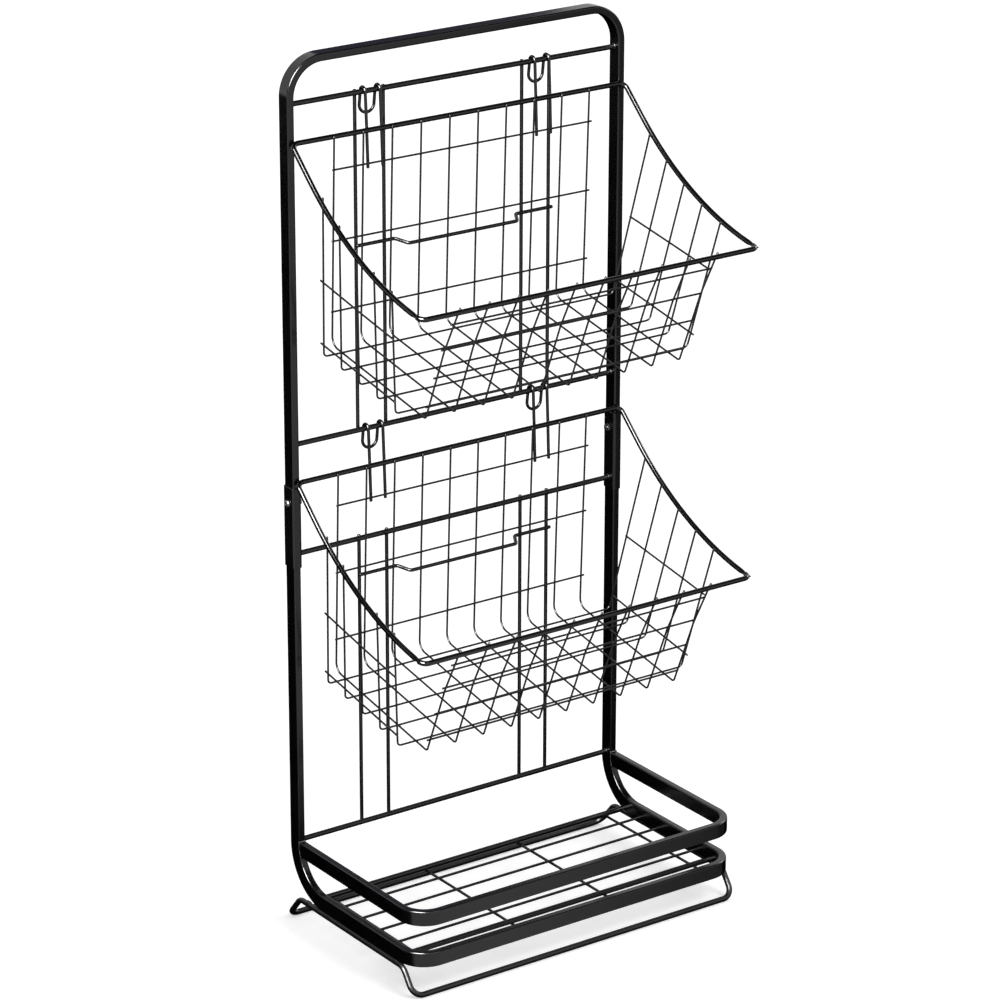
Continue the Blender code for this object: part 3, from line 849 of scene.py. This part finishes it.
# The baskets' rims: a closed loop of 5 mm wire each, level along the back, swept down both sides in
# a long curve and level again along the low, wide front.
rim_radius = 0.0025
rim_half = 0.198
rim_back = 0.0106
rim_front = 0.2289
rim_drop = 0.0361
rim_front_drop = 0.1541
rim_corner = 0.007
rim_sweep = 0.349
rim_step = math.radians(2.0)
rim_side = [
    Vector((rim_half, -rim_back, -rim_drop)),
    Vector((rim_half, -0.1205, -0.1378)),
    Vector((rim_half, -rim_front, -rim_front_drop)),
]
rim_bends = [rim_corner, rim_sweep, rim_corner]
rim_path = rounded(rim_side + mirrored(rim_side), rim_bends * 2, rim_step)
rim_coat = coated("rim_coat", wire_black, roughness=0.17)
baskets = {}
for tier in ("upper", "lower"):
    hang = Vector((0.0, plane, bars["hanger_bar_" + tier][0]))
    baskets[tier] = hang
    rim = wired(
        "rim_loop_" + tier,
        [[place + hang for place in rim_path]],
        rim_radius,
        rim_coat,
        tier + "_basket",
        "basket_rim_" + tier,
        sides=24,
        closed=True,
    )

# The basket's welded mesh of 1.8 mm wire. Ten bows run down the back, along the pitched floor and
# up the front. Five hoops cross inside them and climb the sides, and short wires tie the walls.
mesh_radius = 0.0009
layer_step = 0.0016
floor_pitch = math.radians(10.6)
floor_along = Vector((0.0, -math.cos(floor_pitch), -math.sin(floor_pitch)))
floor_up = Vector((0.0, -math.sin(floor_pitch), math.cos(floor_pitch)))
floor_length = 0.1637
inside_rim = rim_radius + part_gap + mesh_radius
mesh_proud = 0.0016
back_foot = Vector((0.0, -0.0065, -0.247))
front_foot = back_foot + floor_along * floor_length
back_top = Vector((0.0, -(rim_back + inside_rim), mesh_proud - rim_drop))
front_top = Vector((0.0, inside_rim - rim_front, mesh_proud + rim_radius / 2 - rim_front_drop))
across_axis = Vector((1.0, 0.0, 0.0))
back_along = (back_top - back_foot).normalized()
front_along = (front_top - front_foot).normalized()
back_inward = Vector((0.0, -back_along.z, back_along.y))
front_inward = Vector((0.0, front_along.z, -front_along.y))
front_sag = 0.0031
sag_share = 0.59
front_length = (front_top - front_foot).length
sag_rise = front_length * sag_share
front_knee = front_foot + front_along * sag_rise + front_inward * front_sag
back_bend = 0.011
front_bend = 0.004
knee_bend = 0.06
bow_path = rounded(
    [back_top, back_foot, front_foot, front_knee, front_top],
    [0, back_bend, front_bend, knee_bend, 0],
    wire_step,
)
bow_count = 10
bow_half = 0.1518
bow_spacing = 2 * bow_half / (bow_count - 1)
mesh_sides = 12
mesh_coat = coated("mesh_coat", wire_black, roughness=0.28)


def rim_rise(along):
    """How high over the basket's floor the rim's side passes."""
    seen = [((p - back_foot).dot(floor_along), (p - back_foot).dot(floor_up)) for p in rim_path]
    for first, second in zip(seen, seen[1:]):
        if first[0] <= along <= second[0]:
            share = (along - first[0]) / (second[0] - first[0])
            return first[1] + (second[1] - first[1]) * share
    return seen[-1][1]


hoop_first = 0.0202
hoop_spacing = 0.0314
hoop_count = 5
hoop_corner = 0.005
hoop_places = [hoop_first + hoop_spacing * index for index in range(hoop_count)]
hoop_rises = [rim_rise(along) + mesh_proud for along in hoop_places]
foot_across = 0.1747
top_across = rim_half - inside_rim
bow_places = [bow_spacing * (index - (bow_count - 1) / 2) for index in range(bow_count)]
back_rises = (0.0348, 0.1071, 0.1793)
front_rises = (0.0133, 0.0487, 0.0826, 0.1158)
side_levels = (0.0157, 0.0852)
wall_overrun = 0.00285
wall_half = across_axis * (bow_half + wall_overrun)
side_overrun = 0.003
tied = (1.25, 1.25, 1.25)
tied_aside = (1.3, 1.5, 1.5)
tied_on_top = (1.5, 1.3, 1.5)
mesh_runs = []
mesh_spots = []
for along, rise in zip(hoop_places, hoop_rises):
    foot = back_foot + floor_along * along + floor_up * layer_step
    top = foot + floor_up * (rise - layer_step)
    corners = [
        top - across_axis * top_across,
        foot - across_axis * foot_across,
        foot + across_axis * foot_across,
        top + across_axis * top_across,
    ]
    mesh_runs.append(rounded(corners, [0, hoop_corner, hoop_corner, 0], wire_step))
    for across in bow_places:
        mesh_spots.append((foot - floor_up * layer_step / 2 + across_axis * across, tied))
    for sign in (-1.0, 1.0):
        lift = foot + floor_up * (rise - layer_step - mesh_proud)
        spot = lift + across_axis * sign * (top_across + mesh_radius)
        mesh_spots.append((spot, tied_aside))
for foot, along, inward, sag, rises in (
    (back_foot, back_along, back_inward, 0.0, back_rises),
    (front_foot, front_along, front_inward, front_sag, front_rises),
):
    for rise in rises:
        slack = sag * min(rise / sag_rise, (front_length - rise) / (front_length - sag_rise))
        middle = foot + along * rise + inward * (layer_step + slack)
        mesh_runs.append([middle - wall_half, middle + wall_half])
        for across in bow_places:
            mesh_spots.append((middle - inward * layer_step / 2 + across_axis * across, tied))
for sign in (-1.0, 1.0):
    for level in side_levels:
        run = []
        for along, rise in zip(hoop_places, hoop_rises):
            lean = (top_across - foot_across) / (rise - layer_step)
            across = foot_across + lean * (level - layer_step) + layer_step
            spot = back_foot + floor_along * along + floor_up * level
            run.append(spot + across_axis * across * sign)
            mesh_spots.append((spot + across_axis * (across - layer_step / 2) * sign, tied))
        start = run[0] + (run[0] - run[1]).normalized() * side_overrun
        end = run[-1] + (run[-1] - run[-2]).normalized() * side_overrun
        mesh_runs.append([start] + run[1:-1] + [end])
for across in bow_places:
    for top in (back_top, front_top):
        spot = top + across_axis * across - Vector((0.0, 0.0, mesh_proud))
        mesh_spots.append((spot, tied_on_top))
for tier, hang in baskets.items():
    body = tier + "_basket"
    bows = built(
        drawn("basket_bows_" + tier, [[place + hang for place in bow_path]], soft=mesh_radius),
        wire_row,
        {
            "Radius": mesh_radius + coat_thickness,
            "Sides": mesh_sides,
            "Count": bow_count,
            "Spacing": bow_spacing,
            "Finish": mesh_coat,
        },
        body,
        ["basket_wires_" + tier],
    )
    hoops = wired(
        "basket_hoops_" + tier,
        [[place + hang for place in run] for run in mesh_runs],
        mesh_radius,
        mesh_coat,
        body,
        "basket_wires_" + tier,
        mesh_sides,
        soft=mesh_radius,
    )
    spots = [(place + hang, stretch) for place, stretch in mesh_spots]
    name = "basket_welds_" + tier
    welded(name, spots, body, mesh_radius, seed=17, uneven=0.12)

# The stand-off wire: 3.5 mm rod with two jogs, its middle welded inside the back wall's bows. Its
# ends rest in front of the outer guide rods and keep the basket from swinging into the frame.
standoff_radius = 0.00175
standoff_coat = coated("standoff_coat", wire_black, roughness=0.27)
standoff_drop = 0.1542
standoff_fall = 0.0027
jog = 0.0652
jog_bend = 0.004
wall_lean = (back_top - back_foot).y / (back_top - back_foot).z
wall_place = back_foot.y - wall_lean * (back_foot.z + standoff_drop + standoff_fall)
standoff_middle = wall_place - mesh_radius - part_gap - standoff_radius
standoff_end = bar_radius - standoff_radius
standoff_side = [
    Vector((jog, standoff_middle, -standoff_drop - standoff_fall)),
    Vector((0.0727, standoff_end, -standoff_drop)),
    Vector((0.118, standoff_end, -standoff_drop)),
]
standoff_path = rounded(
    mirrored(standoff_side) + standoff_side, [0, *[jog_bend] * 4, 0], wire_step
)
for tier, hang in baskets.items():
    body = tier + "_basket"
    standoff = wired(
        "standoff_wire_" + tier,
        [[place + hang for place in standoff_path]],
        standoff_radius,
        standoff_coat,
        body,
        "basket_standoff_" + tier,
        sides=20,
        soft=standoff_radius,
    )
    spots = []
    for across in bow_places:
        if abs(across) < jog:
            spot = (across, standoff_middle + standoff_radius, -standoff_drop - standoff_fall)
            spots.append((Vector(spot) + hang, (1.0, 0.6, 1.0)))
    welded("standoff_welds_" + tier, spots, body, radius=0.0013, seed=19)

# The hooks: two hairpins of 3 mm wire on each basket. Each goes up behind the rim, over the cross
# bar and down to a round bend behind it. Its legs are welded to the rim.
hook_radius = 0.0015
hook_half = 0.0086
hook_place = 0.1005
hook_drop = 0.0234
hook_bend_reach = 0.0064
hook_over = bar_radius + part_gap + hook_radius
hook_coat = coated("hook_coat", (0.0022, 0.0022, 0.0024), roughness=0.18)
rim_face = rim_back - rim_radius - part_gap - hook_radius
over_steps = 16
bend_steps = 24
leg = [
    Vector((hook_half, -0.008, -0.075)),
    Vector((hook_half, -rim_face, -rim_drop)),
    Vector((hook_half, -hook_over, 0.0)),
]
for count in range(1, over_steps):
    angle = math.pi * count / over_steps
    leg.append(Vector((hook_half, -hook_over * math.cos(angle), hook_over * math.sin(angle))))
leg.append(Vector((hook_half, hook_over, 0.0)))
leg.append(Vector((hook_half, hook_bend_reach, hook_half - hook_drop)))
hook_path = list(leg)
for count in range(1, bend_steps):
    angle = math.pi * count / bend_steps
    drop = hook_drop - hook_half + hook_half * math.sin(angle)
    hook_path.append(Vector((hook_half * math.cos(angle), hook_bend_reach, -drop)))
hook_path += mirrored(leg)
for tier, hang in baskets.items():
    body = tier + "_basket"
    for side, sign in both_sides:
        seat = hang + across_axis * hook_place * sign
        hook = wired(
            "hook_wire_" + side + "_" + tier,
            [[place + seat for place in hook_path]],
            hook_radius,
            hook_coat,
            body,
            "hook_" + side + "_" + tier,
            sides=18,
            soft=hook_radius,
        )
        spots = []
        for edge in (-1.0, 1.0):
            spot = seat + Vector((edge * hook_half, -rim_face - hook_radius, -rim_drop))
            spots.append((spot, (1.0, 0.6, 1.5)))
        name = "hook_welds_" + side + "_" + tier
        welded(name, spots, body, radius=0.0014, seed=23)

# The studio: a plain white ground and surround and a wide soft sun. Two discs that only the gloss
# sees give the bends their sparkle, and black flags beside, behind and over the rack keep the coat
# as deep as it is in the photograph.
white = (1.0, 1.0, 1.0, 1.0)
floor_white = (0.90, 0.90, 0.90, 1.0)
floor_lift = 0.36
surround_light = 0.65
floor_half = 40.0


def seen(tree):
    """One for a ray that shows its surface itself, straight, mirrored or through glass."""
    rays = node(tree, "ShaderNodeLightPath").outputs
    straight = maths(tree, "MAXIMUM", rays["Is Camera Ray"], rays["Is Glossy Ray"])
    return maths(tree, "MAXIMUM", straight, rays["Is Transmission Ray"])


def surfaced(tree, shader, end="Material Output"):
    """Makes a shader the surface of its material or surround."""
    tree.links.new(shader.outputs[0], tree.nodes[end].inputs["Surface"])


def staged(name, corners, faces, finish):
    """Flat pieces of the studio."""
    mesh = bpy.data.meshes.new(name)
    mesh.from_pydata(corners, [], faces)
    mesh.materials.append(finish)
    made = placed(name, mesh)
    return made


def flag_cloth(name, glow):
    """A black cloth with the little light that it gives back."""
    cloth = bpy.data.materials.new(name)
    cloth.use_nodes = True
    tree = cloth.node_tree
    surfaced(tree, node(tree, "ShaderNodeEmission", {"Color": (*glow, 1.0), "Strength": 1.0}))
    return cloth


def flagged(name, corners, faces, finish):
    """A flag that shows only in the gloss."""
    made = staged(name, corners, faces, finish)
    made.visible_camera = False
    made.visible_diffuse = False
    made.visible_transmission = False
    made.visible_volume_scatter = False
    made.visible_shadow = False


ground = bpy.data.materials.new("pale_floor")
ground.use_nodes = True
tree = ground.node_tree
tree.nodes.remove(tree.nodes["Principled BSDF"])
lit = node(tree, "ShaderNodeBsdfDiffuse", {"Color": floor_white})
lift = maths(tree, "MULTIPLY", seen(tree), floor_lift)
bright = node(tree, "ShaderNodeEmission", {"Strength": lift})
surfaced(tree, node(tree, "ShaderNodeAddShader", {0: lit.outputs[0], 1: bright.outputs[0]}))
staged(
    "floor",
    [
        (-floor_half, -floor_half, 0.0),
        (floor_half, -floor_half, 0.0),
        (floor_half, floor_half, 0.0),
        (-floor_half, floor_half, 0.0),
    ],
    [(0, 1, 2, 3)],
    ground,
)

flag_left = -0.9
flag_right = 3.0
flag_front = -0.12
flag_back = 1.2
flag_end = 2.4
flag_low = 0.0005
flag_top = 2.4
far_left = -5.0
far_front = -4.0
far_end = 2.5
far_top = 4.4
black = (0.0, 0.0, 0.0)
flagged(
    "side_flags",
    [
        # On the floor, from the uprights back.
        (flag_left, flag_front, flag_low),
        (flag_right, flag_front, flag_low),
        (flag_right, flag_end, flag_low),
        (flag_left, flag_end, flag_low),
        # A low wall behind the rack's left.
        (flag_left, 0.3, 0.0),
        (flag_left, flag_end, 0.0),
        (flag_left, flag_end, 0.7),
        (flag_left, 0.3, 0.7),
        # Over the rack.
        (-0.25, -2.2, flag_top),
        (2.5, -2.2, flag_top),
        (2.5, flag_back, flag_top),
        (-0.25, flag_back, flag_top),
        # A high wall far out at the left, and the roof from it.
        (far_left, far_front, 0.8),
        (far_left, far_end, 0.8),
        (far_left, far_end, far_top),
        (far_left, far_front, far_top),
        (-0.2, far_front, far_top),
        (-0.2, far_end, far_top),
    ],
    [(0, 1, 2, 3), (4, 5, 6, 7), (8, 9, 10, 11), (12, 13, 14, 15), (15, 14, 17, 16)],
    flag_cloth("black_cloth", black),
)
flagged(
    "back_flag",
    [
        (0.4, flag_back, 0.6),
        (0.93, flag_back, 0.6),
        (0.93, flag_back, flag_top),
        (0.4, flag_back, flag_top),
    ],
    [(0, 1, 2, 3)],
    flag_cloth("blue_black_cloth", (0.08, 0.08, 0.12)),
)
graded_way = (0.81, 0.58, 0.0)
graded_start = -0.14
graded_end = 0.16
graded = flag_cloth("graded_cloth", black)
tree = graded.node_tree
place = node(tree, "ShaderNodeTexCoord").outputs["Object"]
aside = node(
    tree, "ShaderNodeVectorMath", {0: place, 1: graded_way}, operation="DOT_PRODUCT"
)
dense = ranged(tree, aside.outputs["Value"], graded_start, graded_end, 0.1, 0.93)
clear = node(tree, "ShaderNodeBsdfTransparent")
cloth = tree.nodes["Emission"]
surfaced(
    tree,
    node(tree, "ShaderNodeMixShader", {0: dense, 1: clear.outputs[0], 2: cloth.outputs[0]}),
)
flagged(
    "front_flag",
    [
        (-flag_right, far_front, flag_low),
        (flag_right, far_front, flag_low),
        (flag_right, flag_front, flag_low),
        (-flag_right, flag_front, flag_low),
    ],
    [(0, 1, 2, 3)],
    graded,
)

world = bpy.data.worlds.new("studio")
bpy.context.scene.world = world
world.use_nodes = True
tree = world.node_tree
surround = tree.nodes["Background"]
surround.inputs["Color"].default_value = white
surround.inputs["Strength"].default_value = surround_light
backdrop = node(tree, "ShaderNodeBackground", {"Color": white, "Strength": 1.0})
choice = {0: seen(tree), 1: surround.outputs[0], 2: backdrop.outputs[0]}
surfaced(tree, node(tree, "ShaderNodeMixShader", choice), "World Output")
aim = Vector((0.0, 0.0, 0.45))


def aimed(name, kind, place):
    """A lamp that points from its place at the rack."""
    light = placed(name, bpy.data.lights.new(name, kind))
    light.location = place
    light.rotation_euler = (aim - Vector(place)).to_track_quat("-Z", "Y").to_euler()
    return light


key = aimed("soft_sun", "SUN", (0.6, -2.4, 3.2))
key.data.energy = 1.1
key.data.angle = math.radians(30.0)
for name, place, size, power in (
    ("lamp_at_left", (-2.7, -1.65, 3.05), 2.9, 1700.0),
    ("lamp_at_right", (3.2, 0.1, 2.0), 1.0, 40.0),
):
    spark = aimed(name, "AREA", place)
    spark.data.shape = "DISK"
    spark.data.size = size
    spark.data.energy = power
    spark.visible_diffuse = False

picture_size = 1001
azimuth = math.radians(-35.41)
elevation = math.radians(20.507)
roll = math.radians(0.128)
camera_place = (-2.3232, plane - 3.3455, 1.9398)
ahead = Vector(
    (
        -math.sin(azimuth) * math.cos(elevation),
        math.cos(azimuth) * math.cos(elevation),
        -math.sin(elevation),
    )
)
right = Vector((math.cos(azimuth), math.sin(azimuth), 0.0))
up = right.cross(ahead)
right_turned = right * math.cos(roll) + up * math.sin(roll)
up_turned = up * math.cos(roll) - right * math.sin(roll)
facing = Matrix((right_turned, up_turned, -ahead)).transposed().to_4x4()
lens = bpy.data.cameras.new("camera")
lens.sensor_width = 36.0
lens.lens = 154.54
lens.shift_x = -0.5 / picture_size
lens.shift_y = 0.5 / picture_size
lens.clip_start = 0.1
lens.clip_end = 60.0
camera = placed("camera", lens)
camera.matrix_world = Matrix.Translation(camera_place) @ facing
bpy.context.scene.camera = camera
bpy.context.scene.view_settings.view_transform = "Standard"
